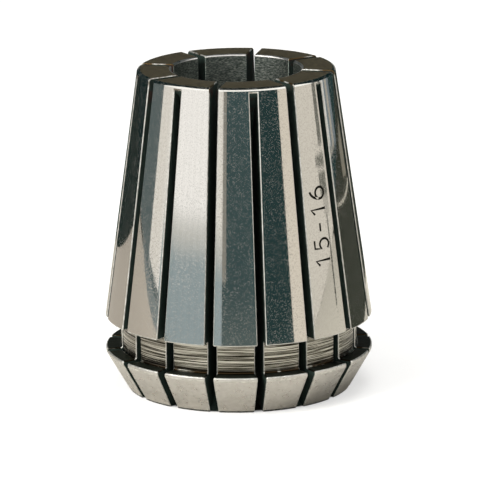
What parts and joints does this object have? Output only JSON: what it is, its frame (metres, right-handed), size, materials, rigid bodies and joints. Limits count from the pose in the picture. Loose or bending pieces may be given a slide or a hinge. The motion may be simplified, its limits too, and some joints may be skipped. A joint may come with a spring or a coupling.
{
  "type": "er collet",
  "caption": "One-piece slotted spring collet with a seat cone, a nut groove and a steep front cone, which closes evenly on a round shank.",
  "frame": {"origin": "centre of the front face, the end that the nut goes on and that the collet stands on", "axes": "+Z along the bore axis from the front face to the small end; a slot that opens at the small end lies at -Y"},
  "size_m": [0.033, 0.033, 0.04],
  "materials": {
    "ground_steel": "hardened and fine ground, turned in the groove"
  },
  "bodies": {
    "root": {"collet": "ground_steel"}
  },
  "joints": []
}
